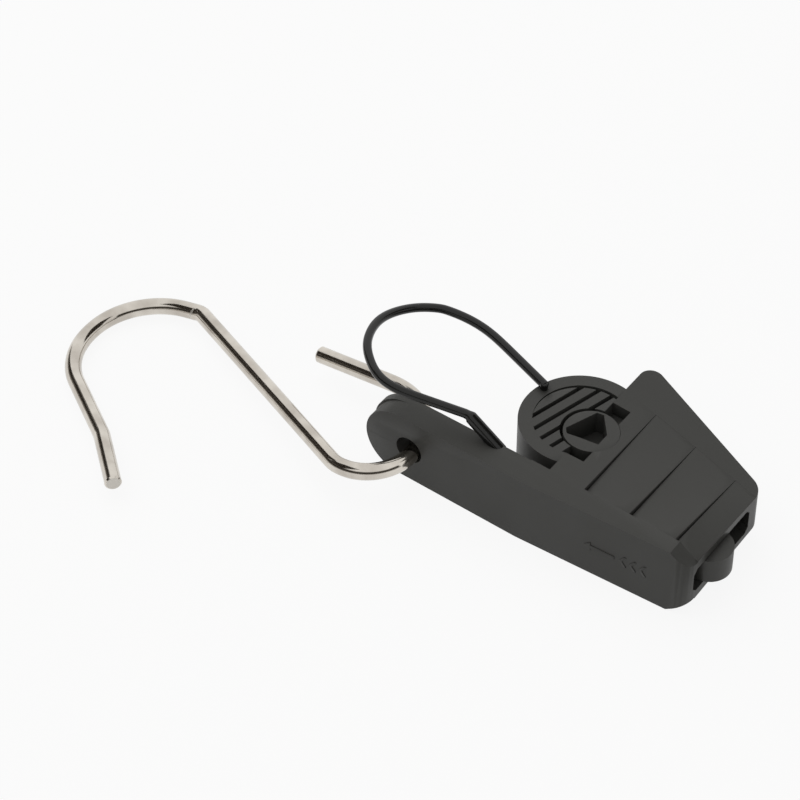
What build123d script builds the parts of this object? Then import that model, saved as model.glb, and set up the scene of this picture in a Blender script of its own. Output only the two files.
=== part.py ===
# Dead-end anchor clamp for a flat fibre drop cable.
#
# A moulded body has an arm with an eye at one end and a tapered pocket at the other. A moulded
# wedge with a round drum slides in the pocket: the cable comes in at the mouth, goes round the
# drum and back out, and pulling on it draws the wedge tighter. A moulded strap keeps the wedge
# with the body, and an S hook of round wire hangs the clamp from its eye.
#
# Frame: the origin is on the underside of the arm, below the middle of the eye. X runs along the
# clamp from the eye to the mouth, Y from the arm towards the wedge, Z up. Sizes in millimetres.
import os
from math import cos, radians, sin, tan

from build123d import *

# Body: arm and eye
body_height = 18.0
arm_thickness = 7.2
eye_diameter = 7.0
eye_end_overhang = 3.2        # centre of the rounded end, beyond the axis of the eye
eye_rim_step = 0.6            # the back part of the eye end stands this much further out
eye_rim_thickness = 2.4
arm_bend_distance = 30.0      # from the eye to the slight bend of the arm
eye_side_angle = 2.3          # slope of the arm before and after the bend, in degrees
mouth_side_angle = 1.3
eye_to_mouth = 74.0
arm_corner_radius = 3.5
end_chamfer_length = 4.9      # the arm's top and bottom fall away at the mouth end
end_chamfer_drop = 3.4

# Body: pocket between its two plates
eye_to_shoulder = 34.1        # straight edge of the plates
plate_far_reach = 27.7        # outer edge of the far wall at the mouth
far_side_angle = 22.8
far_corner_radius = 3.0
mouth_corner_radius = 5.0
near_channel_start = 2.7      # pocket wall on the arm's side, at the shoulder and at the mouth
near_channel_end = -1.0
far_wall_start = 36.7         # pocket wall on the far side, at the shoulder and at the mouth
far_wall_end = 22.3
pocket_height_shoulder = 11.2
pocket_height_mouth = 7.0
pocket_edge_chamfer = 1.2

# Body: grip steps and taper of the plates
taper_near = 3.1              # how far each plate has fallen at the mouth, near and far side
taper_far = 4.1
step_count = 3
step_pitch = 12.1
shoulder_to_first_step = 9.5
step_height = 0.85            # beside the arm, where each crest is level with the arm
step_slit_width = 0.4         # a slit at the foot of each step, beside the arm
step_slit_depth = 1.5
steps_from_start = 2.0        # the steps begin here beside the arm, at the shoulder and at the mouth
steps_from_end = 0.0
steps_to_start = 33.6         # and fade out here, at the shoulder and at the mouth
steps_to_end = 24.8
faded_size = 0.04             # height, width and depth that a step and its slit fade to

# Body: notch in each plate around the wedge's boss
notch_depth = 4.7
notch_low = 8.7
notch_high = 28.3

# Wedge
drum_radius = 14.5
drum_centre_x = 31.3
drum_centre_y = 19.65
wedge_angle = 15.5            # the wedge's axis leans towards the arm, in degrees
drum_to_nose = 42.6
nose_radius = 5.3
ring_width = 3.3
rib_pitch = 3.3
first_slot_offset = -8.0      # along the wedge's axis, from the middle of the drum
slot_count = 6
slot_width = 1.1
slot_depth = 5.0
rib_end_gap = 0.8             # widest gap between the ribs' far ends and the ring
rib_run_in = 0.15             # the ribs run this far into the ring on the arm's side
boss_radius = 6.45
boss_offset = 4.0
boss_offset_across = -0.7
boss_gap = 0.9                # widest gap beside the boss, on the arm's side
boss_fall = 0.35              # the boss slopes down with the plates, to this at its mouth side
socket_offset = 3.5           # triangular socket in the boss
socket_offset_across = -0.5
socket_turn = -21.0           # direction of its corner on the plates' side, in degrees
socket_side_distance = 3.5    # from its middle to its sides
socket_blunt_distance = 5.5   # its corners are cut off flat this far from its middle
socket_flat_distance = 3.9    # and the one on the plates' side more, along the shoulder
socket_depth = 6.0

# Clearances
wedge_clearance = 0.25        # wedge to plates
shoulder_clearance = 0.08     # drum and boss to the edges of the plates
drum_recess = 0.15            # the drum stands this much below the arm's faces
strap_clearance = 0.1         # strap foot to the drum, on which it slides

# Strap
strap_width = 1.8
strap_thickness = 1.5
strap_kink = (12.8, 1.9)              # from here a ramp goes down to the arm
strap_rise = 4.7                      # from the arm's top to the kink
strap_fall = (0.0857, 0.1553)         # the loop's plane falls from the kink, along and across
ramp_foot_x = 19.5
ramp_foot_length = 3.6
drum_foot = (18.9, 23.1)
drum_foot_length = 2.0
drum_foot_width = 2.2
strap_route = [                       # in the loop's plane, from the drum to the kink
    (6.1, 21.7), (-19.1, 30.9), (-30.5, 26.0), (-35.5, 14.3), (-31.8, 3.8), (-21.6, -5.6),
    (-1.2, 0.0), (0.0, 0.0),
]
strap_bends = [22.0, 14.0, 12.0, 12.0, 10.0, 4.0]

# S hook
wire_diameter = 4.0
hook_offset_x = 1.0           # the wire bears against the mouth side of the eye, and low in it
hook_offset_z = -0.4
hook_tilt = 4.1               # the hook lies down to the surface that the body rests on
far_leg_length = 38.7
far_leg_reach = 14.0
far_leg_slope = 1.6
near_leg_reach = 15.8
near_leg_corner = 12.9
shank_end = (-70.8, 9.9)
upper_bend_top = (-89.5, 6.6)
upper_bend_bottom = (-89.5, -19.4)
flare_corner = (-63.5, -36.5)
tip = (-50.7, -47.8)
hook_radii = [17.5, 11.0, 8.0, 4.0, 17.5, 20.0, 8.0]
wire_end_chamfer = 0.4

# Derived places
mid_height = body_height / 2
eye_end_radius = body_height / 2
arm_half = arm_thickness / 2
bend_y = -arm_half - arm_bend_distance * tan(radians(eye_side_angle))
margin = 5.0
reach = 150.0                 # beyond every part of the clamp


def front_y(x):
    """Front face of the arm, which bends slightly."""
    if x < arm_bend_distance:
        return bend_y + (arm_bend_distance - x) * tan(radians(eye_side_angle))
    return bend_y + (x - arm_bend_distance) * tan(radians(mouth_side_angle))


def back_y(x):
    """Back face of the arm, on the eye's side of the bend."""
    return bend_y + arm_thickness + (arm_bend_distance - x) * tan(radians(eye_side_angle))


def on_line(x, start, end):
    """Value at x on the line from the shoulder to the mouth."""
    share = (x - eye_to_shoulder) / (eye_to_mouth - eye_to_shoulder)
    return start + (end - start) * share


def far_y(x, inset=0.0):
    """Outer edge of the far wall."""
    slope = tan(radians(far_side_angle))
    return plate_far_reach + (eye_to_mouth - x) * slope - inset / cos(radians(far_side_angle))


def step_y(x):
    """Where the grip steps begin, beside the arm."""
    return on_line(x, steps_from_start, steps_from_end)


def prism(points, bottom, top):
    """A plan outline raised from one height to another."""
    face = make_face(Polyline(*points, close=True))
    return Pos(0, 0, bottom) * extrude(face, amount=top - bottom, dir=(0, 0, 1))


def side_prism(points, start, end):
    """A side view outline, given as (x, z), drawn out from y = start to y = end."""
    face = make_face(Polyline(*[(x, start, z) for x, z in points], close=True))
    return extrude(face, amount=end - start, dir=(0, 1, 0))


def both_faces(shape):
    """The shape and its mirror image about the clamp's middle height."""
    return shape + mirror(shape, about=Plane.XY.offset(mid_height))


def body_outline():
    """Plan of the arm and the plates, with its three rounded corners."""
    start = -eye_end_overhang - eye_end_radius - eye_rim_step
    points = [
        (start, front_y(start)),
        (arm_bend_distance, bend_y),
        (eye_to_mouth, front_y(eye_to_mouth)),
        (eye_to_mouth, far_y(eye_to_mouth)),
        (eye_to_shoulder, far_y(eye_to_shoulder)),
        (eye_to_shoulder, back_y(eye_to_shoulder)),
        (start, back_y(start)),
    ]
    face = make_face(Polyline(*points, close=True))
    corners = face.vertices()
    rounding = {2: arm_corner_radius, 3: mouth_corner_radius, 4: far_corner_radius}
    for index, radius in rounding.items():
        near = [v for v in corners if (Vector(v) - Vector(*points[index], 0)).length < 0.01]
        face = fillet(near, radius)
        corners = face.vertices()
    return extrude(face, amount=body_height, dir=(0, 0, 1))


def arm_side_view():
    """The arm seen from the side: round at the eye, chamfered at the mouth."""
    chamfer_start = eye_to_mouth - end_chamfer_length
    beyond = 1 + margin / end_chamfer_length
    points = [
        (-eye_end_overhang, 0),
        (chamfer_start, 0),
        (chamfer_start + beyond * end_chamfer_length, beyond * end_chamfer_drop),
        (chamfer_start + beyond * end_chamfer_length, body_height - beyond * end_chamfer_drop),
        (chamfer_start, body_height),
        (-eye_end_overhang, body_height),
    ]
    low = -margin - arm_thickness
    bar = side_prism(points, low, step_y(eye_to_shoulder) + margin)
    end = Pos(-eye_end_overhang, 0, mid_height) * Rot(90, 0, 0) * Cylinder(eye_end_radius, reach)
    rim_low = back_y(0) - eye_rim_thickness
    rim = Pos(-eye_end_overhang - eye_rim_step, rim_low, mid_height) * Rot(-90, 0, 0) * Cylinder(
        eye_end_radius, reach, align=(Align.CENTER, Align.CENTER, Align.MIN))
    rim_bar = Pos(-eye_end_overhang - eye_rim_step, rim_low, 0) * Box(
        eye_rim_step, reach, body_height, align=Align.MIN)
    return bar + end + rim + rim_bar


def fade_y(x):
    """Where the grip steps have faded out."""
    return on_line(x, steps_to_start, steps_to_end)


def section(points, y_at):
    """An upright section through a plate, from points (x, z), along the line that y_at gives."""
    return make_face(Polyline(*[(x, y_at(x), z) for x, z in points], close=True))


def step_profile(y_at, crest_drop, mouth_drop, height, slit_width, slit_depth):
    """One section across the grip steps, down to the mid height."""
    start = eye_to_shoulder - margin
    end = eye_to_mouth + margin
    points = [(start, mid_height), (start, body_height), (eye_to_shoulder, body_height)]
    for index in range(step_count):
        x = eye_to_shoulder + shoulder_to_first_step + index * step_pitch
        crest = body_height - on_line(x, 0.0, crest_drop)
        points.append((x, crest))
        points.append((x, crest - height - slit_depth))
        points.append((x + slit_width, crest - height - slit_depth))
        points.append((x + slit_width, crest - height))
    last_x, last_z = points[-1]
    slope = (body_height - mouth_drop - last_z) / (eye_to_mouth - last_x)
    points.append((end, last_z + slope * (end - last_x)))
    points.append((end, mid_height))
    return section(points, y_at)


def plate_skin():
    """Everything under the outer faces of the two plates."""
    near = step_profile(step_y, 0.0, taper_near, step_height, step_slit_width, step_slit_depth)
    fade = step_profile(fade_y, taper_far, taper_far, faded_size, faded_size, faded_size)
    start = eye_to_shoulder - margin
    end = eye_to_mouth + margin
    plain = [
        (start, mid_height), (start, body_height), (eye_to_shoulder, body_height),
        (end, body_height - on_line(end, 0.0, taper_far)), (end, mid_height),
    ]
    outer = section(plain, lambda x: far_y(x, -margin))
    stepped = loft([near, fade], ruled=True)
    far_part = loft([section(plain, fade_y), outer], ruled=True)
    return both_faces(stepped + far_part)


def pocket():
    """The tapered hollow, open at the shoulder and at the mouth."""
    start = eye_to_shoulder - margin
    end = eye_to_mouth + margin
    plan = [(x, on_line(x, near_channel_start, near_channel_end)) for x in (start, end)]
    plan += [(x, on_line(x, far_wall_start, far_wall_end)) for x in (end, start)]
    half = {x: on_line(x, pocket_height_shoulder, pocket_height_mouth) / 2 for x in (start, end)}
    side = [
        (start, mid_height - half[start]), (end, mid_height - half[end]),
        (end, mid_height + half[end]), (start, mid_height + half[start]),
    ]
    hollow = prism(plan, 0, body_height) & side_prism(side, -margin, far_wall_start + margin)
    long_edges = [e for e in hollow.edges() if abs(e.tangent_at(0.5).X) > 0.8]
    return chamfer(long_edges, pocket_edge_chamfer)


def clamp_body():
    arm_zone = [
        (-reach, -reach),
        (eye_to_mouth + margin, -reach),
        (eye_to_mouth + margin, step_y(eye_to_mouth + margin)),
        (eye_to_shoulder - margin, step_y(eye_to_shoulder - margin)),
        (-reach, step_y(eye_to_shoulder - margin) + margin),
    ]
    arm = arm_side_view() & prism(arm_zone, -margin, body_height + margin)
    solid = body_outline() & (arm + plate_skin())
    notch = Pos(eye_to_shoulder - margin, notch_low, -margin) * Box(
        notch_depth + margin, notch_high - notch_low, body_height + 2 * margin, align=Align.MIN)
    bay = disc(
        boss_offset, boss_radius + shoulder_clearance, -margin, body_height + margin, boss_offset_across)
    eye = Pos(0, 0, mid_height) * Rot(90, 0, 0) * Cylinder(eye_diameter / 2, reach)
    return solid - pocket() - notch - bay - eye


def wedge_place(u, v=0.0):
    """A point given along and across the wedge's axis, from the middle of the drum."""
    a = radians(wedge_angle)
    return (drum_centre_x + u * cos(a) + v * sin(a), drum_centre_y - u * sin(a) + v * cos(a))


def disc(u, radius, bottom, top, v=0.0):
    """A round upright slab at a point along and across the wedge's axis."""
    x, y = wedge_place(u, v)
    return Pos(x, y, bottom) * Cylinder(radius, top - bottom, align=(Align.CENTER, Align.CENTER, Align.MIN))


def tail_plan():
    """Plan of the wedge: the drum and the nose joined by their outer tangents."""
    lean = (drum_radius - nose_radius) / drum_to_nose
    across = (1 - lean ** 2) ** 0.5
    corners = [
        wedge_place(drum_radius * lean, drum_radius * across),
        wedge_place(drum_to_nose + nose_radius * lean, nose_radius * across),
        wedge_place(drum_to_nose + nose_radius * lean, -nose_radius * across),
        wedge_place(drum_radius * lean, -drum_radius * across),
    ]
    plan = prism(corners, 0, body_height)
    return plan + disc(0, drum_radius, 0, body_height) + disc(drum_to_nose, nose_radius, 0, body_height)


def tail_side():
    """Side view of the wedge between the plates."""
    start = eye_to_shoulder - 2 * drum_radius - margin
    end = eye_to_mouth + reach
    half_start = on_line(start, pocket_height_shoulder, pocket_height_mouth) / 2 - wedge_clearance
    half_mouth = pocket_height_mouth / 2 - wedge_clearance
    points = [
        (start, mid_height - half_start), (eye_to_mouth, mid_height - half_mouth),
        (end, mid_height - half_mouth), (end, mid_height + half_mouth),
        (eye_to_mouth, mid_height + half_mouth), (start, mid_height + half_start),
    ]
    return side_prism(points, -reach, reach)


def drum_slots():
    """The moulded recesses between the ribs of the drum, in its upper face."""
    inner_radius = drum_radius - ring_width
    floor = body_height - drum_recess - slot_depth
    recess = disc(0, inner_radius, floor, body_height)
    cuts = None
    for index in range(slot_count):
        x, y = wedge_place(first_slot_offset + index * rib_pitch)
        slot = Pos(x, y, floor) * Rot(0, 0, -wedge_angle) * Box(
            slot_width, reach, slot_depth + margin, align=(Align.CENTER, Align.CENTER, Align.MIN))
        cuts = slot if cuts is None else cuts + slot
    shift = rib_end_gap / 2 + rib_run_in
    ribs_radius = inner_radius - rib_end_gap + shift
    ribs = Pos(0, -shift, 0) * disc(0, ribs_radius, floor - margin, body_height + margin)
    rib_end_slot = recess - ribs
    boss = disc(boss_offset, boss_radius, floor - margin, body_height + margin, boss_offset_across)
    moat_radius = boss_radius + boss_gap / 2
    moat = disc(boss_offset - boss_gap / 2, moat_radius, floor, body_height, boss_offset_across)
    return recess & (cuts + rib_end_slot + moat) - boss


def socket():
    """Triangular socket in the boss, with its corners cut off."""
    x, y = wedge_place(socket_offset, socket_offset_across)
    triangle = RegularPolygon(2 * socket_side_distance, 3, rotation=socket_turn)
    blunt = RegularPolygon(2 * socket_blunt_distance, 3, rotation=socket_turn + 180)
    flat = Pos(socket_flat_distance, 0, 0) * Rectangle(reach, reach, align=(Align.MAX, Align.CENTER))
    floor = body_height - drum_recess - socket_depth
    return Pos(x, y, floor) * extrude(triangle & blunt & flat, amount=socket_depth + margin)


def behind(x):
    """Everything on the eye's side of x."""
    return Pos(x, 0, 0) * Box(reach, reach, reach, align=(Align.MAX, Align.CENTER, Align.CENTER))


def wedge():
    plan = tail_plan()
    tail = plan & tail_side()
    bottom, top = drum_recess, body_height - drum_recess
    drum_front = eye_to_shoulder - shoulder_clearance
    drum = disc(0, drum_radius, bottom, top) & behind(drum_front)
    boss_end = wedge_place(boss_offset)[0] + boss_radius
    beyond = boss_end + margin
    fallen = drum_recess + boss_fall * (beyond - eye_to_shoulder) / (boss_end - eye_to_shoulder)
    boss_side = [
        (0, bottom), (eye_to_shoulder, bottom), (beyond, fallen),
        (beyond, body_height - fallen), (eye_to_shoulder, top), (0, top),
    ]
    boss = disc(boss_offset, boss_radius, bottom, top, boss_offset_across)
    boss &= side_prism(boss_side, -reach, reach)
    slots = drum_slots() & behind(drum_front)
    return tail + drum + boss - both_faces(slots) - both_faces(socket())


def retaining_strap():
    """A ribbon in a leaning plane, with a foot at each end, on the arm and on the drum."""
    along, across = strap_fall
    kink = (*strap_kink, body_height + strap_rise)
    loop = Plane(origin=kink, x_dir=(1, 0, -along), z_dir=(along, across, 1))
    path = loop * FilletPolyline(*strap_route, radius=strap_bends)
    away = path % 0
    start = Plane(origin=path @ 0, x_dir=loop.z_dir, z_dir=away)
    end = Plane(origin=path @ 1, x_dir=loop.z_dir, z_dir=path % 1)
    band = Rectangle(strap_thickness, strap_width)
    ribbon = sweep(start * band, path=path)

    on_arm = Plane(origin=(ramp_foot_x, strap_kink[1], body_height), x_dir=(1, 0, 0), z_dir=(0, 0, -1))
    ramp = loft([end * band, on_arm * Rectangle(ramp_foot_length, strap_width)], ruled=True)

    drum_top = body_height - drum_recess + strap_clearance
    on_drum = Plane(origin=(*drum_foot, drum_top), x_dir=(-away.X, -away.Y, 0), z_dir=(0, 0, 1))
    foot = loft([on_drum * Rectangle(drum_foot_length, drum_foot_width), start * band], ruled=True)
    return ribbon + ramp + foot


def s_hook():
    tilt = radians(hook_tilt)
    plane = Plane(
        origin=(0, 0, mid_height + hook_offset_z), x_dir=(cos(tilt), 0, sin(tilt)),
        z_dir=(-sin(tilt), 0, cos(tilt)))
    slope = tan(radians(far_leg_slope))
    end_x = hook_offset_x - far_leg_length
    points = [
        (end_x, far_leg_reach - far_leg_length * slope),
        (hook_offset_x, far_leg_reach),
        (hook_offset_x, -near_leg_reach),
        (hook_offset_x - near_leg_corner, -near_leg_reach),
        shank_end, upper_bend_top, upper_bend_bottom, flare_corner, tip,
    ]
    path = plane * FilletPolyline(*points, radius=hook_radii)
    start = Plane(origin=path @ 0, z_dir=path % 0)
    wire = sweep(start * Circle(wire_diameter / 2), path=path)
    ends = [e for e in wire.edges().filter_by(GeomType.CIRCLE)
            if (e.arc_center - path @ 0).length < 0.01 or (e.arc_center - path @ 1).length < 0.01]
    return chamfer(ends, wire_end_chamfer)


nodes = {
    "clamp_body": clamp_body,
    "wedge": wedge,
    "retaining_strap": retaining_strap,
    "s_hook": s_hook,
}

os.makedirs("parts", exist_ok=True)
for name, make in nodes.items():
    shape = make()
    export_step(shape, f"parts/{name}.step")
    print(name, len(shape.solids()), "solid", round(shape.volume), "mm3")
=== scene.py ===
# %% [markdown]
# Anchor clamp for a flat drop cable.
#
# The object is a black moulded clamp with a bright wire hook. Its body, wedge and hook come from
# CAD, in metres, and stand where they are. This lesson dresses them: it softens the moulded
# edges, draws the thin strap as one flowing ribbon and the wire of the hook as one fine tube,
# raises the small marks on the arm, and gives plastic and plated wire a surface that holds up
# close to the lens. Sizes are written in millimetres and turned into metres with mm.

# %% Load the CAD frame
from math import atan2, cos, degrees, pi, radians, sin, tan

import bpy
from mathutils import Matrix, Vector


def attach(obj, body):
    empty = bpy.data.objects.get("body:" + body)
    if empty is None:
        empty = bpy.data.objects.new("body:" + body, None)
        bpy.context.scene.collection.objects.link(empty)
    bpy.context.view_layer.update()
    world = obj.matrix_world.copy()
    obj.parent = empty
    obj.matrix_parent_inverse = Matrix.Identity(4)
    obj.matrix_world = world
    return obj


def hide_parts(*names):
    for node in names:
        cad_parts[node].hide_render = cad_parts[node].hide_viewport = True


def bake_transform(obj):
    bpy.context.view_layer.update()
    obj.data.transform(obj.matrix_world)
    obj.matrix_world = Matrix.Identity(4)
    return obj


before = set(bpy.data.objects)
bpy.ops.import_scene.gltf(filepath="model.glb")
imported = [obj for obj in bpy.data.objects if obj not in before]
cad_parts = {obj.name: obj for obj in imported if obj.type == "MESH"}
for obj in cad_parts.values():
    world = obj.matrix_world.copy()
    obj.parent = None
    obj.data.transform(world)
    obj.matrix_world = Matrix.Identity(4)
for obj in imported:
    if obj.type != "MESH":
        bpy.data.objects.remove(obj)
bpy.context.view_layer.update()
mm = 0.001
print("CAD nodes:", sorted(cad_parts))

# %% [markdown]
# The camera comes first, because every later choice is judged through it. Product photographs of
# small parts are taken from some way off with a long lens, so a 135 mm lens stands about 68 cm
# from the clamp and looks down on it at 44 degrees. Nothing in the picture is out of focus.

# %% Camera at the photograph's angle
camera_place = (277.324, -397.101, 490.539)
camera_down = 44.05
camera_turn = 35.41

camera_data = bpy.data.cameras.new("studio_camera")
camera_data.lens = 135.0
camera_data.sensor_width = 36.0
camera_data.clip_start = 0.01
camera_data.clip_end = 10.0
camera = bpy.data.objects.new("studio_camera", camera_data)
bpy.context.scene.collection.objects.link(camera)
camera.location = Vector(camera_place) * mm
camera.rotation_euler = (radians(90.0 - camera_down), 0.0, radians(camera_turn))
bpy.context.scene.camera = camera
print("camera stands", round(camera.location.length / mm), "mm from the eye of the clamp")

# %% [markdown]
# Operators act on whatever is selected. One helper leaves a single object selected and active,
# so that each step touches only the piece it is meant for. The other puts a finished piece's
# place into its mesh, because a pattern on Object coordinates should start at the same point
# for all pieces.

# %% Work on one object at a time
def pick(obj):
    """Leave only this object selected and active, in object mode."""
    if bpy.context.object and bpy.context.object.mode != "OBJECT":
        bpy.ops.object.mode_set(mode="OBJECT")
    bpy.ops.object.select_all(action="DESELECT")
    obj.select_set(True)
    bpy.context.view_layer.objects.active = obj


def settle(obj):
    """Put the place, turn and size of a finished piece into its mesh."""
    pick(obj)
    bpy.ops.object.transform_apply(location=True, rotation=True, scale=True)
    print(obj.name, "has", len(obj.data.polygons), "faces")


# %% [markdown]
# A moulded part has no knife edges: the tool rounds every corner a little, and that round is
# what catches the light. It could be faked in the material, but then an exported mesh would
# still be sharp. CAD edges are perfectly sharp, and a CAD mesh is left alone, so the body and
# the wedge are copied. Each copy is welded, its flat regions are joined into whole faces, and
# a bevel rounds its sharp edges by a tenth of a millimetre.

# %% Soften the moulded edges
body_round = 0.11
wedge_round = 0.09
weld_gap = 0.002
flat_angle = radians(0.5)
sharp_angle = radians(35.0)


def softened_copy(node, name, round_mm):
    """A copy of a CAD node with rounded edges and without the node's own marks."""
    pick(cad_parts[node])
    bpy.ops.object.duplicate()
    copy = bpy.context.object
    copy.name = name
    copy.data.name = name
    for key in [k for k in copy.keys() if k.startswith("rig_")]:
        del copy[key]
    copy.parent = None
    bpy.ops.object.mode_set(mode="EDIT")
    bpy.ops.mesh.select_all(action="SELECT")
    bpy.ops.mesh.remove_doubles(threshold=weld_gap * mm)
    bpy.ops.mesh.dissolve_limited(angle_limit=flat_angle)
    bpy.ops.object.mode_set(mode="OBJECT")
    bpy.ops.object.shade_smooth_by_angle(angle=sharp_angle)
    rounding = copy.modifiers.new("rounding", "BEVEL")
    rounding.limit_method = "ANGLE"
    rounding.angle_limit = sharp_angle
    rounding.width = round_mm * mm
    rounding.segments = 2
    rounding.use_clamp_overlap = True
    rounding.harden_normals = True
    bpy.ops.object.modifier_apply(modifier="rounding")
    print(name, "has", len(copy.data.polygons), "faces")
    return copy


body_shell = softened_copy("clamp_body", "moulded_body", body_round)
wedge_shell = softened_copy("wedge", "moulded_wedge", wedge_round)
for copy, node in ((body_shell, "clamp_body"), (wedge_shell, "wedge")):
    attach(copy, node)
    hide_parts(node)

# %% [markdown]
# The strap is a thin moulded ribbon that keeps the wedge with the body. It climbs from the arm up
# a short ramp, turns at a kink, swings round in a wide leaning loop and comes down on the rim of
# the wedge. The loop is laid out as corners in its own leaning plane, each with a bend radius.
# Arcs alone would show where one bend ends and the next begins, so the rounded line is then
# relaxed, as a springy strap relaxes.

# %% Turn corners into a smooth line
def rounded_line(corners, radii, arc_steps):
    """Points along straight lines whose inner corners are replaced by arcs."""
    line = [corners[0]]
    for before, corner, after, radius in zip(corners, corners[1:], corners[2:], radii[1:]):
        back = (before - corner).normalized()
        ahead = (after - corner).normalized()
        half = back.angle(ahead) / 2
        middle = corner + (back + ahead).normalized() * radius / sin(half)
        first = (corner + back * radius / tan(half) - middle).normalized()
        last = (corner + ahead * radius / tan(half) - middle).normalized()
        line += [middle + first.slerp(last, k / arc_steps) * radius for k in range(arc_steps + 1)]
    return line + [corners[-1]]


def even_line(line, spacing):
    """The same line with its points evenly spaced."""
    even, carry = [line[0]], 0.0
    for start, end in zip(line, line[1:]):
        length = (end - start).length
        along = spacing - carry
        while along < length:
            even.append(start.lerp(end, along / length))
            along += spacing
        carry = length - along + spacing
    return even + [line[-1]]


def relax(line, passes):
    """Even out the bends, with both ends held."""
    for _ in range(passes):
        inner = [(a + 2 * b + c) / 4 for a, b, c in zip(line, line[1:], line[2:])]
        line = [line[0]] + inner + [line[-1]]
    return line


# %% Route of the strap
loop_kink = Vector((12.8, 1.9, 22.7))
loop_up = Vector((0.0857, 0.1553, 1.0)).normalized()
loop_x = Vector((1.0, 0.0, -0.0857)).normalized()
loop_y = loop_up.cross(loop_x)
ramp_end = Vector((21.4, 1.9, 16.66))
loop_corners = [
    (6.5, 21.6, 0.0), (-19.1, 30.9, 22.0), (-30.5, 26.0, 14.0), (-35.5, 14.3, 12.0),
    (-31.8, 3.8, 12.0), (-21.6, -5.6, 10.0), (-1.2, 0.0, 4.0), (0.0, 0.0, 1.4),
]
loop_spacing = 1.0
loop_passes = 16

corners = [loop_kink + loop_x * x + loop_y * y for x, y, _ in loop_corners]
radii = [radius for _, _, radius in loop_corners]
loop_line = rounded_line(corners[:-1], radii, arc_steps=10)
loop_line = relax(even_line(loop_line, loop_spacing), loop_passes)
ramp_line = rounded_line([corners[-2], corners[-1], ramp_end], [0.0, radii[-1]], arc_steps=8)
strap_route = loop_line + ramp_line[1:]
print("strap route has", len(strap_route), "points")

# %% [markdown]
# A spline can carry a section along a route and keep it upright, which suits a strap and a wire
# alike. The strap's section is a rounded rectangle, drawn as a closed curve: a circle whose
# points are moved to the ends of the four flat sides. The ribbon spreads towards the foot of
# the ramp, so its last points have a growing radius.

# %% Section of the strap
ribbon_width = 1.9
ribbon_height = 1.55
ribbon_corner = 0.28


def ribbon_section(name, width, height, corner):
    """A closed, rounded rectangle that a spline can carry along."""
    bpy.ops.object.select_all(action="DESELECT")
    bpy.ops.curve.primitive_bezier_circle_add(radius=1.0)
    outline = bpy.context.object
    outline.name = name
    bpy.ops.object.mode_set(mode="EDIT")
    bpy.ops.curve.select_all(action="SELECT")
    bpy.ops.curve.subdivide(number_cuts=1)
    bpy.ops.object.mode_set(mode="OBJECT")
    half_w, half_h = width / 2, height / 2
    places = []
    for sx, sy in ((1, 1), (-1, 1), (-1, -1), (1, -1)):
        side = (sx * half_w, sy * (half_h - corner))
        top = (sx * (half_w - corner), sy * half_h)
        places += [side, top] if sx * sy > 0 else [top, side]
    for point, (x, y) in zip(outline.data.splines[0].bezier_points, places):
        point.co = (x * mm, y * mm, 0)
        point.handle_left_type = point.handle_right_type = "AUTO"
    return outline


section = ribbon_section("strap_section", ribbon_width, ribbon_height, ribbon_corner)
print("section has", len(section.data.splines[0].bezier_points), "points")

# %% Paths that become meshes
def path_through(name, line):
    """A path with closed ends through a line of points, still without its section."""
    bpy.ops.object.select_all(action="DESELECT")
    bpy.ops.curve.primitive_nurbs_path_add(radius=mm)
    path = bpy.context.object
    path.name = name
    path.data.name = name
    path.data.use_fill_caps = True
    points = path.data.splines[0].points
    points.add(len(line) - len(points))
    for point, place in zip(points, line):
        point.co = (*(place * mm), 1.0)
    return path


def mesh_from_path(path):
    """Turn a path with a section into a closed mesh, without doubles."""
    pick(path)
    bpy.ops.object.convert(target="MESH")
    bpy.ops.object.mode_set(mode="EDIT")
    bpy.ops.mesh.select_all(action="SELECT")
    bpy.ops.mesh.remove_doubles(threshold=0.001 * mm)
    bpy.ops.mesh.normals_make_consistent(inside=False)
    bpy.ops.object.mode_set(mode="OBJECT")


# %% The ribbon of the strap
ramp_spread = 1.4

strap = path_through("strap_ribbon", strap_route)
spline = strap.data.splines[0]
for step, point in enumerate(spline.points[-len(ramp_line):]):
    point.radius = 1.0 + (ramp_spread - 1.0) * step / (len(ramp_line) - 1)
spline.order_u = 3
spline.use_endpoint_u = True
spline.resolution_u = 3
strap.data.twist_mode = "Z_UP"
strap.data.bevel_mode = "OBJECT"
strap.data.bevel_object = section
mesh_from_path(strap)
bpy.data.objects.remove(section)
bpy.ops.object.shade_smooth_by_angle(angle=radians(50.0))
print("strap ribbon has", len(strap.data.polygons), "faces")

# %% [markdown]
# The end on the wedge is round in plan. A short cylinder with a softened rim closes the ribbon
# there and carries it down to the rim of the drum.

# %% Foot of the strap
foot_x, foot_y, foot_low, foot_high = 18.75, 23.15, 17.86, 19.6
foot_round = 0.3

bpy.ops.object.select_all(action="DESELECT")
bpy.ops.mesh.primitive_cylinder_add(
    vertices=32, radius=ribbon_width / 2 * mm, depth=(foot_high - foot_low) * mm,
    location=(foot_x * mm, foot_y * mm, (foot_low + foot_high) / 2 * mm))
foot = bpy.context.object
foot.name = "strap_foot"
edge = foot.modifiers.new("edge", "BEVEL")
edge.width = foot_round * mm
edge.segments = 3
edge.angle_limit = radians(40.0)
bpy.ops.object.modifier_apply(modifier="edge")
bpy.ops.object.shade_smooth_by_angle(angle=radians(40.0))
settle(foot)
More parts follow.
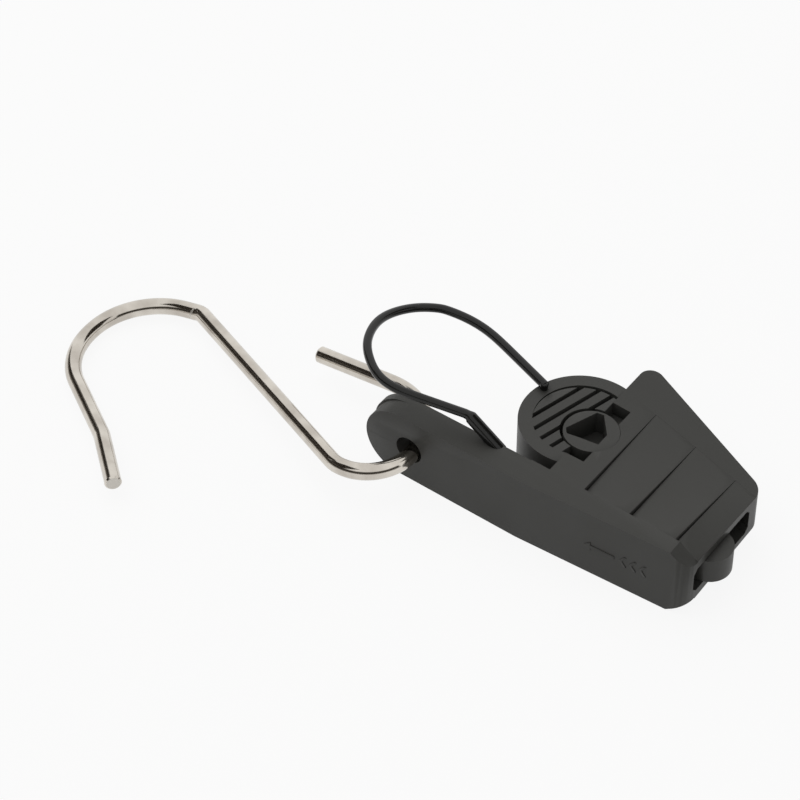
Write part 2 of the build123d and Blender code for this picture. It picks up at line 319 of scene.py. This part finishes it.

# %% [markdown]
# One end of the strap stays on the arm and the other goes with the wedge. A strap that rode on
# either alone would tear off the other when the wedge slides. Here the foot is joined to the
# ribbon, and the joined strap takes the place of the CAD strap; it is tied to neither part.

# %% Join the foot to the ribbon
bpy.ops.object.select_all(action="DESELECT")
foot.select_set(True)
strap.select_set(True)
bpy.context.view_layer.objects.active = strap
bpy.ops.object.join()
settle(strap)
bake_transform(strap)
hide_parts("retaining_strap")

# %% [markdown]
# The hook is one length of 4 mm wire, bent cold. Bright plating shows every facet of a coarse
# mesh, so the wire is drawn once more along the same bends, much finer than the CAD mesh: a
# line with rounded corners gets a round section, which narrows over the last 0.4 mm at each
# cropped end, and that makes the chamfer. The hook lies in a plane of its own, which passes
# through the eye and is tilted a little, because its far end comes down to the ground.

# %% The wire of the hook
hook_tilt = radians(4.1)
hook_height = 8.6
wire_radius = 2.0
end_chamfer = 0.41
wire_bends = [
    (-37.7, 12.919, 0.0), (1.0, 14.0, 17.5), (1.0, -15.8, 11.0), (-11.9, -15.8, 8.0),
    (-70.8, 9.9, 4.0), (-89.5, 6.6, 17.5), (-89.5, -19.4, 20.0), (-63.5, -36.5, 8.0),
    (-50.7, -47.8, 0.0),
]

wire_corners = [
    Vector((x * cos(hook_tilt), y, hook_height + x * sin(hook_tilt))) for x, y, _ in wire_bends]
wire_route = rounded_line(wire_corners, [radius for _, _, radius in wire_bends], arc_steps=24)
for index, end, neighbour in ((1, 0, 1), (-1, -1, -2)):
    inward = (wire_route[neighbour] - wire_route[end]).normalized()
    wire_route.insert(index, wire_route[end] + inward * end_chamfer)
hook_wire = path_through("hook_wire", wire_route)
spline = hook_wire.data.splines[0]
spline.type = "POLY"
for point in (spline.points[0], spline.points[-1]):
    point.radius = 1.0 - end_chamfer / wire_radius
hook_wire.data.bevel_depth = wire_radius * mm
hook_wire.data.bevel_resolution = 10
mesh_from_path(hook_wire)
bpy.ops.object.shade_smooth_by_angle(angle=radians(40.0))
settle(hook_wire)
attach(hook_wire, "s_hook")
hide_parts("s_hook")

# %% [markdown]
# Raised marks on the front of the arm: an arrow that points towards the hook, and a row of plain
# chevrons behind it. Bump in the material could hint at them, but they are real steps that the
# light grazes. Each starts as a flat plane that is cut and pushed into shape, gets its thickness
# by an extrusion, and is finished with a small bevel, as raised moulding is. The front of the
# arm has a shallow bend and turns by a little more than a degree from there to the mouth, so the
# marks are laid along that turned face.

# %% Lay a mark on the front face of the arm
bend_x = 30.0
bend_y = -4.805
face_turn = radians(1.3)
mark_height = 0.16
mark_sink = 0.01
mark_round = 0.06


def raise_mark(piece):
    """Give a flat mark its height, soften it and lay it on the front face."""
    pick(piece)
    bpy.ops.object.mode_set(mode="EDIT")
    bpy.ops.mesh.select_all(action="SELECT")
    bpy.ops.mesh.extrude_region_move(TRANSFORM_OT_translate={"value": (0, -mark_height * mm, 0)})
    bpy.ops.mesh.select_all(action="SELECT")
    bpy.ops.mesh.normals_make_consistent(inside=False)
    bpy.ops.object.mode_set(mode="OBJECT")
    soft = piece.modifiers.new("soft", "BEVEL")
    soft.width = mark_round * mm
    soft.segments = 2
    soft.angle_limit = radians(30.0)
    bpy.ops.object.modifier_apply(modifier="soft")
    past_bend = piece.location.x - bend_x * mm
    piece.location.x = bend_x * mm + past_bend * cos(face_turn)
    piece.location.y = bend_y * mm + past_bend * sin(face_turn) + mark_sink * mm
    piece.rotation_euler = (0.0, 0.0, face_turn)
    settle(piece)
    bpy.ops.object.shade_smooth_by_angle(angle=radians(30.0))


def flat_plane(name, x, z, width, height):
    """A plane that stands upright, facing the front of the arm."""
    bpy.ops.object.select_all(action="DESELECT")
    bpy.ops.mesh.primitive_plane_add(size=1.0, location=(x * mm, 0, z * mm), rotation=(pi / 2, 0, 0))
    plane = bpy.context.object
    plane.name = name
    plane.scale = (width * mm, height * mm, 1.0)
    bpy.ops.object.transform_apply(location=False, rotation=True, scale=True)
    return plane


def choose_vertices(piece, test):
    """Select the vertices whose place passes the test, and stay in edit mode."""
    bpy.ops.object.mode_set(mode="EDIT")
    bpy.ops.mesh.select_mode(type="VERT")
    bpy.ops.mesh.select_all(action="DESELECT")
    bpy.ops.object.mode_set(mode="OBJECT")
    for vertex in piece.data.vertices:
        vertex.select = bool(test(vertex.co))
    bpy.ops.object.mode_set(mode="EDIT")


# %% The arrow
arrow_x, arrow_z = 52.55, 8.35
shaft_length, shaft_height = 6.1, 0.9
head_length, head_spread = 1.6, 2.9
point_share = 0.02

arrow = flat_plane("front_arrow", arrow_x, arrow_z, shaft_length, shaft_height)
choose_vertices(arrow, lambda co: co.x < 0)
bpy.ops.mesh.extrude_region_move(TRANSFORM_OT_translate={"value": (-0.001 * mm, 0, 0)})
bpy.ops.transform.resize(value=(1.0, 1.0, head_spread))
bpy.ops.mesh.extrude_region_move(TRANSFORM_OT_translate={"value": (-head_length * mm, 0, 0)})
bpy.ops.transform.resize(value=(1.0, 1.0, point_share))
bpy.ops.object.mode_set(mode="OBJECT")
raise_mark(arrow)

# %% The chevrons
chevron_x, chevron_z, chevron_step = 58.4, 8.5, 2.5
chevron_thickness, chevron_height, chevron_point = 0.75, 3.0, 1.15

chevrons = []
for index in range(3):
    chevron = flat_plane(
        f"front_chevron_{index + 1}", chevron_x + chevron_step * index, chevron_z,
        chevron_thickness, chevron_height)
    choose_vertices(chevron, lambda co: True)
    bpy.ops.mesh.subdivide(number_cuts=1)
    choose_vertices(chevron, lambda co: abs(co.z) < 0.1 * mm)
    bpy.ops.transform.translate(value=(-chevron_point * mm, 0, 0))
    bpy.ops.object.mode_set(mode="OBJECT")
    raise_mark(chevron)
    chevrons.append(chevron)

for piece in [arrow] + chevrons:
    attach(piece, "clamp_body")

# %% [markdown]
# Finishes. The plastics share one effect: a fine spark-eroded grain, and a slow unevenness that
# changes colour and gloss together. It could be drawn anew in each material. Instead it is built
# once as a node group and tuned by each one, so the body, the wedge and the glossier strap look
# moulded from one kind of plastic without being copies of each other.

# %% Node group: moulded grain
def moulded_grain_group():
    """Grain, gloss and colour of a moulded surface, as a reusable node group."""
    group = bpy.data.node_groups.new("moulded_grain", "ShaderNodeTree")
    sockets = group.interface
    for name, kind, value in (
        ("Dark", "NodeSocketColor", (0.018, 0.018, 0.017, 1.0)),
        ("Pale", "NodeSocketColor", (0.034, 0.034, 0.032, 1.0)),
        ("Grain Size", "NodeSocketFloat", 2600.0),
        ("Patch Size", "NodeSocketFloat", 70.0),
        ("Gloss Low", "NodeSocketFloat", 0.36),
        ("Gloss High", "NodeSocketFloat", 0.52),
        ("Grain Depth", "NodeSocketFloat", 0.12),
    ):
        socket = sockets.new_socket(name=name, in_out="INPUT", socket_type=kind)
        socket.default_value = value
    sockets.new_socket(name="Color", in_out="OUTPUT", socket_type="NodeSocketColor")
    sockets.new_socket(name="Roughness", in_out="OUTPUT", socket_type="NodeSocketFloat")
    sockets.new_socket(name="Normal", in_out="OUTPUT", socket_type="NodeSocketVector")
    nodes, links = group.nodes, group.links
    inside = nodes.new("NodeGroupInput")
    out = nodes.new("NodeGroupOutput")
    place = nodes.new("ShaderNodeTexCoord")
    grain = nodes.new("ShaderNodeTexNoise")
    grain.inputs["Detail"].default_value = 3.0
    links.new(place.outputs["Object"], grain.inputs["Vector"])
    links.new(inside.outputs["Grain Size"], grain.inputs["Scale"])
    patch = nodes.new("ShaderNodeTexNoise")
    patch.inputs["Detail"].default_value = 4.0
    patch.inputs["Roughness"].default_value = 0.55
    links.new(place.outputs["Object"], patch.inputs["Vector"])
    links.new(inside.outputs["Patch Size"], patch.inputs["Scale"])
    mix = nodes.new("ShaderNodeMix")
    mix.data_type = "RGBA"
    links.new(patch.outputs["Fac"], mix.inputs["Factor"])
    links.new(inside.outputs["Dark"], mix.inputs["A"])
    links.new(inside.outputs["Pale"], mix.inputs["B"])
    links.new(mix.outputs["Result"], out.inputs["Color"])
    gloss = nodes.new("ShaderNodeMapRange")
    links.new(patch.outputs["Fac"], gloss.inputs["Value"])
    gloss.inputs["From Min"].default_value = 0.3
    gloss.inputs["From Max"].default_value = 0.7
    links.new(inside.outputs["Gloss Low"], gloss.inputs["To Min"])
    links.new(inside.outputs["Gloss High"], gloss.inputs["To Max"])
    links.new(gloss.outputs["Result"], out.inputs["Roughness"])
    bump = nodes.new("ShaderNodeBump")
    bump.inputs["Distance"].default_value = 0.05 * mm
    links.new(grain.outputs["Fac"], bump.inputs["Height"])
    links.new(inside.outputs["Grain Depth"], bump.inputs["Strength"])
    links.new(bump.outputs["Normal"], out.inputs["Normal"])
    return group


moulded_grain = moulded_grain_group()
print("group sockets:", [s.name for s in moulded_grain.interface.items_tree])

# %% [markdown]
# Black plastic is never quite black: the body and the wedge are a dark warm grey with a satin
# surface, and the thin strap is darker and glossier. Gloss is a range of roughness, where a low
# value is shiny. The index of refraction is the same all over a piece, so it stands on the
# shader itself.

# %% Materials: moulded plastic
def plastic(name, dark, pale, gloss, grain_depth, patch_size, ior):
    """Moulded plastic with its own values for the moulded grain."""
    material = bpy.data.materials.new(name)
    material.use_nodes = True
    nodes, links = material.node_tree.nodes, material.node_tree.links
    shader = nodes["Principled BSDF"]
    shader.inputs["IOR"].default_value = ior
    grain = nodes.new("ShaderNodeGroup")
    grain.node_tree = moulded_grain
    for socket, value in (
        ("Dark", (*dark, 1.0)), ("Pale", (*pale, 1.0)), ("Gloss Low", gloss[0]),
        ("Gloss High", gloss[1]), ("Grain Depth", grain_depth), ("Patch Size", patch_size),
    ):
        grain.inputs[socket].default_value = value
    for output, socket in (
        ("Color", "Base Color"), ("Roughness", "Roughness"), ("Normal", "Normal"),
    ):
        links.new(grain.outputs[output], shader.inputs[socket])
    print(name, "has a roughness from", gloss[0], "to", gloss[1])
    return material


body_plastic = plastic(
    "body_plastic", dark=(0.038, 0.038, 0.035), pale=(0.050, 0.049, 0.045),
    gloss=(0.42, 0.55), grain_depth=0.12, patch_size=60.0, ior=1.36)
wedge_plastic = plastic(
    "wedge_plastic", dark=(0.040, 0.040, 0.037), pale=(0.052, 0.051, 0.047),
    gloss=(0.40, 0.52), grain_depth=0.12, patch_size=80.0, ior=1.36)
strap_plastic = plastic(
    "strap_plastic", dark=(0.006, 0.006, 0.006), pale=(0.010, 0.010, 0.009),
    gloss=(0.12, 0.20), grain_depth=0.03, patch_size=120.0, ior=1.38)

# %% [markdown]
# The hook is mild steel wire with a bright plated skin. Plating is a nearly perfect mirror with a
# warm tint, so its look comes from what it reflects, and painting light and dark streaks on it
# would go wrong in every other view. Its own detail is only a faint cloudiness of tint and gloss.

# %% Material: plated wire
plating_dark = (0.50, 0.46, 0.41, 1.0)
plating_pale = (0.66, 0.62, 0.56, 1.0)

wire_plating = bpy.data.materials.new("wire_plating")
wire_plating.use_nodes = True
wire_nodes, wire_links = wire_plating.node_tree.nodes, wire_plating.node_tree.links
shader = wire_nodes["Principled BSDF"]
shader.inputs["Metallic"].default_value = 1.0
place = wire_nodes.new("ShaderNodeTexCoord")
cloud = wire_nodes.new("ShaderNodeTexNoise")
cloud.inputs["Scale"].default_value = 180.0
cloud.inputs["Detail"].default_value = 5.0
wire_links.new(place.outputs["Object"], cloud.inputs["Vector"])
tint = wire_nodes.new("ShaderNodeValToRGB")
tint.color_ramp.elements[0].position = 0.35
tint.color_ramp.elements[0].color = plating_dark
tint.color_ramp.elements[1].position = 0.65
tint.color_ramp.elements[1].color = plating_pale
wire_links.new(cloud.outputs["Fac"], tint.inputs["Fac"])
gloss = wire_nodes.new("ShaderNodeMapRange")
gloss.inputs["To Min"].default_value = 0.07
gloss.inputs["To Max"].default_value = 0.17
wire_links.new(cloud.outputs["Fac"], gloss.inputs["Value"])
print("plating varies from", plating_dark[:3], "to", plating_pale[:3])

# %% [markdown]
# The wire is cropped to length after plating, so its two end faces are bare, matt steel, and the
# former has left a pale pinch across the inside of the sharp bend. Each is a thin slice of space
# round a known point of the wire: a mask is 1 inside the slice and mixes the bare steel in. A
# second material on those faces would do for the ends, but the pinch has no faces of its own.

# %% Bare steel at the cut ends and at the pinch
def combine(operation, first, second):
    """One maths node between two sockets."""
    node = wire_nodes.new("ShaderNodeMath")
    node.operation = operation
    wire_links.new(first, node.inputs[0])
    wire_links.new(second, node.inputs[1])
    return node.outputs[0]


def slice_mask(centre, axis, low, high, reach):
    """1 where a point lies between two planes across the wire and near the centre."""
    offset = wire_nodes.new("ShaderNodeVectorMath")
    offset.operation = "SUBTRACT"
    offset.inputs[1].default_value = Vector(centre) * mm
    wire_links.new(place.outputs["Object"], offset.inputs[0])
    along = wire_nodes.new("ShaderNodeVectorMath")
    along.operation = "DOT_PRODUCT"
    along.inputs[1].default_value = Vector(axis).normalized()
    wire_links.new(offset.outputs["Vector"], along.inputs[0])
    distance = wire_nodes.new("ShaderNodeVectorMath")
    distance.operation = "LENGTH"
    wire_links.new(offset.outputs["Vector"], distance.inputs[0])
    mask = None
    for source, operation, limit in (
        (along.outputs["Value"], "GREATER_THAN", low),
        (along.outputs["Value"], "LESS_THAN", high),
        (distance.outputs["Value"], "LESS_THAN", reach),
    ):
        test = wire_nodes.new("ShaderNodeMath")
        test.operation = operation
        test.inputs[1].default_value = limit * mm
        wire_links.new(source, test.inputs[0])
        mask = combine("MULTIPLY", mask, test.outputs[0]) if mask else test.outputs[0]
    return mask


far_end = slice_mask((-37.603, 12.919, 5.905), (-0.997, -0.028, -0.072), -0.05, 1.0, 3.0)
tip_end = slice_mask((-50.57, -47.8, 4.975), (0.748, -0.662, 0.054), -0.05, 1.0, 3.0)
pinch = slice_mask((-72.2, 7.8, 4.5), (0.98, -0.12, 0.0), -0.25, 0.25, 1.5)
bare = combine("MAXIMUM", combine("MAXIMUM", far_end, tip_end), pinch)
steel = wire_nodes.new("ShaderNodeMix")
steel.data_type = "RGBA"
steel.inputs["B"].default_value = (0.66, 0.63, 0.58, 1.0)
wire_links.new(bare, steel.inputs["Factor"])
wire_links.new(tint.outputs["Color"], steel.inputs["A"])
wire_links.new(steel.outputs["Result"], shader.inputs["Base Color"])
matt = wire_nodes.new("ShaderNodeMix")
matt.inputs["B"].default_value = 0.5
wire_links.new(bare, matt.inputs["Factor"])
wire_links.new(gloss.outputs["Result"], matt.inputs["A"])
wire_links.new(matt.outputs["Result"], shader.inputs["Roughness"])
print("the wire has", len(wire_nodes), "shader nodes")

# %% [markdown]
# Each piece gets one material, which covers the whole piece.

# %% Give each piece its finish
def dress(piece, material):
    """One material for the whole piece."""
    piece.data.materials.clear()
    piece.data.materials.append(material)
    print(piece.name, "is finished in", material.name)


dress(body_shell, body_plastic)
dress(wedge_shell, wedge_plastic)
dress(strap, strap_plastic)
for piece in [arrow] + chevrons:
    dress(piece, body_plastic)
dress(hook_wire, wire_plating)

# %% [markdown]
# The studio. The photograph has a plain white ground and very soft light, so a pale floor, a
# white surround and two broad soft lamps are enough. The white is not made with more light,
# which would bleach the object: floor and world simply show white to the lens and in
# reflections, and keep a plain level for all other light. The floor mixes only a part of that
# white in, so the shadow under the clamp stays. Places and sizes in the studio are in metres.

# %% What the lens sees
def seen_by_lens(nodes, links):
    """A socket that is 1 for camera, glossy and transmission rays, and 0 for the others."""
    path = nodes.new("ShaderNodeLightPath")
    total = path.outputs["Is Camera Ray"]
    for name in ("Is Glossy Ray", "Is Transmission Ray"):
        larger = nodes.new("ShaderNodeMath")
        larger.operation = "MAXIMUM"
        links.new(total, larger.inputs[0])
        links.new(path.outputs[name], larger.inputs[1])
        total = larger.outputs[0]
    return total


# %% Floor
white_share = 0.9

bpy.ops.object.select_all(action="DESELECT")
bpy.ops.mesh.primitive_plane_add(size=4.0, location=(0, 0, -0.1 * mm))
floor = bpy.context.object
floor.name = "studio_floor"
floor_paint = bpy.data.materials.new("floor_paint")
floor_paint.use_nodes = True
nodes, links = floor_paint.node_tree.nodes, floor_paint.node_tree.links
shader = nodes["Principled BSDF"]
shader.inputs["Base Color"].default_value = (0.75, 0.75, 0.74, 1.0)
shader.inputs["Roughness"].default_value = 0.9
white = nodes.new("ShaderNodeEmission")
white.inputs["Color"].default_value = (1.0, 1.0, 1.0, 1.0)
white.inputs["Strength"].default_value = 1.0
share = nodes.new("ShaderNodeMath")
share.operation = "MULTIPLY"
share.inputs[1].default_value = white_share
links.new(seen_by_lens(nodes, links), share.inputs[0])
overlay = nodes.new("ShaderNodeMixShader")
links.new(share.outputs[0], overlay.inputs["Fac"])
links.new(shader.outputs[0], overlay.inputs[1])
links.new(white.outputs[0], overlay.inputs[2])
links.new(overlay.outputs[0], nodes["Material Output"].inputs["Surface"])
floor.data.materials.append(floor_paint)
print("the floor shows", white_share, "of pure white to the lens")

# %% [markdown]
# A bright wire shows nothing of its own in an all-white room. Dark surroundings draw the dark
# lines along it, as the dark end of a real studio does. A curved wall goes round the side of
# the camera and three boards stand higher up. They are seen only in reflections: the lens, the
# shadows and the soft light pass through them.

# %% Dark wall
wall_radius = 1.3
wall_low, wall_high = 0.1, 1.05
wall_start = 158.0


def only_in_reflections(piece):
    """Hide a piece from the lens and take it out of the light."""
    piece.visible_camera = False
    piece.visible_shadow = False
    piece.visible_diffuse = False


bpy.ops.object.select_all(action="DESELECT")
bpy.ops.mesh.primitive_cylinder_add(
    vertices=72, radius=wall_radius, depth=wall_high - wall_low, end_fill_type="NOTHING",
    location=(0, 0, (wall_low + wall_high) / 2))
dark_wall = bpy.context.object
dark_wall.name = "dark_wall"
bpy.ops.object.mode_set(mode="EDIT")
bpy.ops.mesh.select_mode(type="FACE")
bpy.ops.mesh.select_all(action="DESELECT")
bpy.ops.object.mode_set(mode="OBJECT")
for face in dark_wall.data.polygons:
    around = degrees(atan2(face.center.y, face.center.x)) % 360.0
    face.select = around < wall_start
bpy.ops.object.mode_set(mode="EDIT")
bpy.ops.mesh.delete(type="FACE")
bpy.ops.object.mode_set(mode="OBJECT")
settle(dark_wall)

# %% [markdown]
# Painted in one dark tone, the wall would end in hard lines along the wire. Its paint is dark in
# the middle of its height and fades to pale towards its lower and upper edges.

# %% Paint of the wall
wall_paint = bpy.data.materials.new("wall_paint")
wall_paint.use_nodes = True
nodes, links = wall_paint.node_tree.nodes, wall_paint.node_tree.links
shader = nodes["Principled BSDF"]
shader.inputs["Roughness"].default_value = 1.0
place_on_wall = nodes.new("ShaderNodeTexCoord")
parts = nodes.new("ShaderNodeSeparateXYZ")
height = nodes.new("ShaderNodeMapRange")
height.inputs["From Min"].default_value = wall_low
height.inputs["From Max"].default_value = wall_high
fade = nodes.new("ShaderNodeValToRGB")
fade.color_ramp.elements[0].color = (0.75, 0.72, 0.68, 1.0)
fade.color_ramp.elements[1].color = (0.85, 0.83, 0.80, 1.0)
for position in (0.3, 0.66):
    fade.color_ramp.elements.new(position).color = (0.05, 0.042, 0.034, 1.0)
links.new(place_on_wall.outputs["Object"], parts.inputs["Vector"])
links.new(parts.outputs["Z"], height.inputs["Value"])
links.new(height.outputs["Result"], fade.inputs["Fac"])
links.new(fade.outputs["Color"], shader.inputs["Base Color"])
dark_wall.data.materials.append(wall_paint)
only_in_reflections(dark_wall)
print("the wall has", len(dark_wall.data.polygons), "panels")

# %% Dark boards
board_paint = bpy.data.materials.new("board_paint")
board_paint.use_nodes = True
shader = board_paint.node_tree.nodes["Principled BSDF"]
shader.inputs["Base Color"].default_value = (0.06, 0.05, 0.04, 1.0)
shader.inputs["Roughness"].default_value = 1.0


def dark_board(name, way, size):
    """A square dark board that faces the object from a given direction."""
    bpy.ops.object.select_all(action="DESELECT")
    direction = Vector(way).normalized()
    bpy.ops.mesh.primitive_plane_add(size=size, location=direction * wall_radius)
    board = bpy.context.object
    board.name = name
    board.rotation_euler = direction.to_track_quat("Z", "Y").to_euler()
    board.data.materials.append(board_paint)
    only_in_reflections(board)
    print(name, "is", size, "m wide")


dark_board("board_by_camera", (-0.45, -0.45, 0.77), 0.8)
dark_board("board_by_mouth", (0.504, 0.586, 0.628), 0.9)
dark_board("board_by_hook", (-0.72, -0.06, 0.69), 0.5)

# %% [markdown]
# Light. A large key lamp stands over the hook and a weak fill lamp lifts the front. Both are
# hidden from reflections, because a square lamp would show as a hard white patch on the wire.
# The world gives the rest as an even glow.

# %% Lamps and world
world_light = 0.43


def soft_lamp(name, place, size, power):
    """A square soft lamp that points at the origin."""
    data = bpy.data.lights.new(name, "AREA")
    data.shape = "SQUARE"
    data.size = size
    data.energy = power
    lamp = bpy.data.objects.new(name, data)
    bpy.context.scene.collection.objects.link(lamp)
    lamp.location = place
    lamp.rotation_euler = (-Vector(place)).to_track_quat("-Z", "Y").to_euler()
    lamp.visible_glossy = False


soft_lamp("key_lamp", (-0.6, 0.1, 1.0), 1.5, 9.0)
soft_lamp("fill_lamp", (0.7, -0.9, 0.7), 1.2, 0.8)

world = bpy.data.worlds.new("white_room")
bpy.context.scene.world = world
world.use_nodes = True
nodes, links = world.node_tree.nodes, world.node_tree.links
nodes.clear()
out = nodes.new("ShaderNodeOutputWorld")
glow = nodes.new("ShaderNodeBackground")
glow.inputs["Color"].default_value = (1.0, 1.0, 1.0, 1.0)
glow.inputs["Strength"].default_value = world_light
backdrop = nodes.new("ShaderNodeBackground")
backdrop.inputs["Color"].default_value = (1.0, 1.0, 0.995, 1.0)
backdrop.inputs["Strength"].default_value = 1.0
choice = nodes.new("ShaderNodeMixShader")
links.new(seen_by_lens(nodes, links), choice.inputs["Fac"])
links.new(glow.outputs[0], choice.inputs[1])
links.new(backdrop.outputs[0], choice.inputs[2])
links.new(choice.outputs[0], out.inputs["Surface"])
bpy.context.scene.view_settings.view_transform = "Standard"
